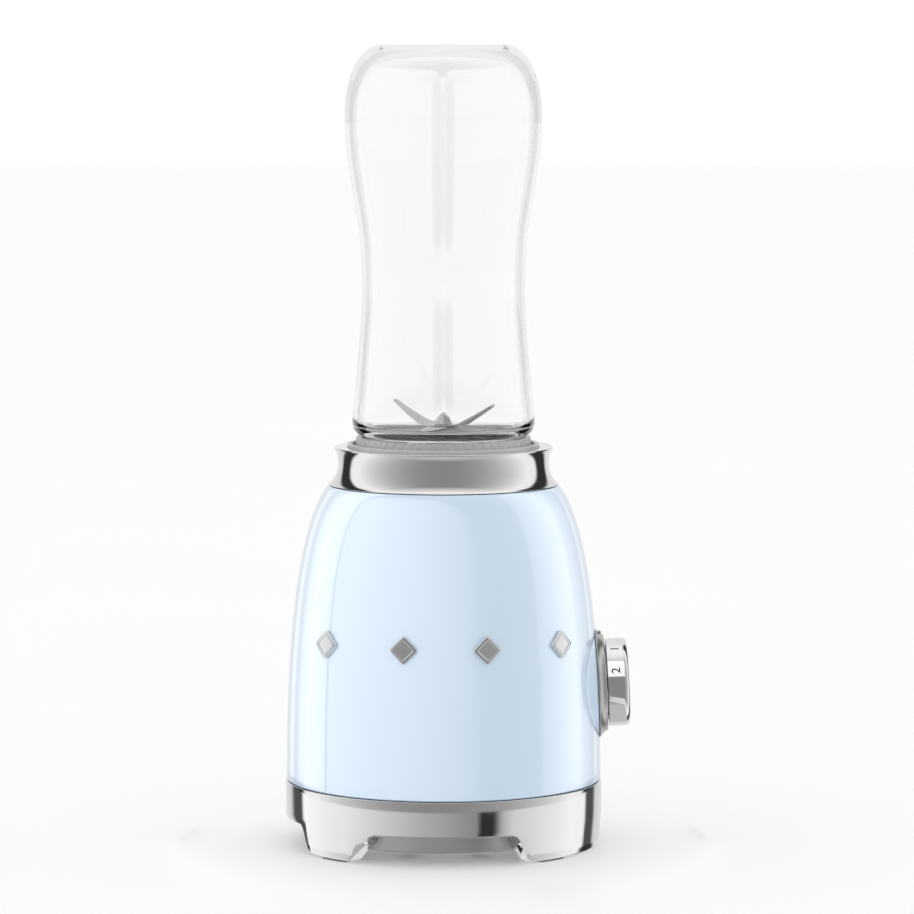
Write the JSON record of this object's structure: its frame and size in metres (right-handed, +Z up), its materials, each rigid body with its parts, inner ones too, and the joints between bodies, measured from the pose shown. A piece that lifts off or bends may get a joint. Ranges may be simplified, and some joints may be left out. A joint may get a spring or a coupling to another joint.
{
  "type": "countertop blender",
  "caption": "Personal blender: domed motor base on a footed metal skirt, side dial, metal collar, screw-on blade unit and an inverted clear waisted bottle.",
  "frame": {"origin": "on the ground under the centre of the bounding box; the drive axis stands 6.5 mm to the left of it, at x = -0.00652", "axes": "+Z up along the drive axis, -Y to the front where the trim studs are, +X to the side with the dial"},
  "size_m": [0.1558, 0.1428, 0.36],
  "materials": {
    "enamel": "pastel blue gloss enamel",
    "chrome": "bright polished chrome plate",
    "satin_metal": "satin nickel bezel",
    "silver_plastic": "silver metallic plastic, satin",
    "grey_plastic": "satin grey plastic",
    "clear_plastic": null,
    "steel": "ground stainless steel",
    "zinc": "zinc plated steel",
    "lamination": "varnished electrical steel stack",
    "copper": null,
    "brass": "machined brass",
    "rubber_grey": "grey silicone rubber",
    "rubber_dark": "dark rubber",
    "plastic_dark": "dark glass-filled plastic",
    "carbon": null,
    "circuit": "green circuit board"
  },
  "bodies": {
    "base": {"housing_shell": "enamel", "collar_ring": "chrome", "skirt_ring": "chrome", "base_plate": "silver_plastic", "cord_gland": "rubber_dark", "bottle_seat": "grey_plastic", "leg_pad_1": "rubber_dark", "leg_pad_2": "rubber_dark", "leg_pad_3": "rubber_dark", "leg_pad_4": "rubber_dark", "base_screw_1": "zinc", "base_screw_2": "zinc", "base_screw_3": "zinc", "base_screw_4": "zinc", "collar_screw_1": "zinc", "collar_screw_2": "zinc", "trim_stud_1": "chrome", "trim_stud_2": "chrome", "trim_stud_3": "chrome", "trim_stud_4": "chrome", "knob_bezel": "satin_metal", "switch_body": "plastic_dark", "plunger_spring": "steel", "microswitch": "plastic_dark", "control_board": "circuit", "stator_core": "lamination", "field_coil_1": "copper", "field_coil_2": "copper", "brush_holder_1": "brass", "brush_holder_2": "brass", "brush_1": "carbon", "brush_2": "carbon", "through_bolt_1": "zinc", "through_bolt_2": "zinc", "upper_motor_frame": "zinc", "lower_motor_frame": "zinc", "upper_bearing": "steel", "lower_bearing": "steel", "motor_cushion": "rubber_dark", "shaft_seal": "rubber_dark"},
    "rotor": {"motor_shaft": "steel", "armature_core": "lamination", "armature_winding": "copper", "commutator": "copper", "cooling_fan": "plastic_dark", "drive_coupling": "rubber_dark"},
    "knob": {"knob": "chrome", "knob_spindle": "steel"},
    "plunger": {"interlock_plunger": "grey_plastic"},
    "seat_ring": {"seat_ring": "rubber_dark"},
    "blade_unit": {"blade_holder": "grey_plastic", "spindle_bush": "brass", "spindle_seal": "rubber_grey"},
    "blades": {"blade_spindle": "steel", "upper_blade": "steel", "lower_blade": "steel", "blade_nut": "steel", "driven_coupler": "plastic_dark"},
    "gasket": {"gasket": "rubber_grey"},
    "bottle": {"bottle": "clear_plastic"}
  },
  "joints": [
    {"name": "knob_turn", "type": "hinge", "parent": "base", "child": "knob", "pos_m": [0.06298, 0, 0.0726], "axis": [0.9987, 0, 0.0506], "range_deg": [-68, 34]},
    {"name": "motor_spin", "type": "hinge", "parent": "base", "child": "rotor", "pos_m": [-0.00652, 0, 0.1], "axis": [0, 0, 1], "continuous": true},
    {"name": "lock_turn", "type": "hinge", "parent": "base", "child": "seat_ring", "pos_m": [-0.00652, 0, 0.165], "axis": [0, 0, 1], "range_deg": [0, 35]},
    {"name": "bottle_lift", "type": "slide", "parent": "seat_ring", "child": "blade_unit", "axis": [0, 0, 1], "range_m": [0, 0.1]},
    {"name": "blade_spin", "type": "hinge", "parent": "blade_unit", "child": "blades", "pos_m": [-0.00652, 0, 0.18], "axis": [0, 0, 1], "continuous": true},
    {"name": "bottle_unscrew", "type": "hinge", "parent": "blade_unit", "child": "gasket", "pos_m": [-0.00652, 0, 0.17], "axis": [0, 0, 1], "range_deg": [0, 360]},
    {"name": "bottle_rise", "type": "slide", "parent": "gasket", "child": "bottle", "axis": [0, 0, 1], "range_m": [0, 0.006]},
    {"name": "interlock_press", "type": "slide", "parent": "base", "child": "plunger", "axis": [0, 0, 1], "range_m": [-0.002, 0], "stiffness_N_per_m": 250, "springref_m": 0.001, "deforming": ["plunger_spring"]}
  ],
  "couplings": [
    {"joint": "blade_spin", "follows": "motor_spin", "ratio": 1},
    {"joint": "bottle_unscrew", "follows": "bottle_rise", "rad_per_m": 1047.2},
    {"joint": "lock_turn", "follows": "interlock_press", "rad_per_m": -305.43}
  ]
}
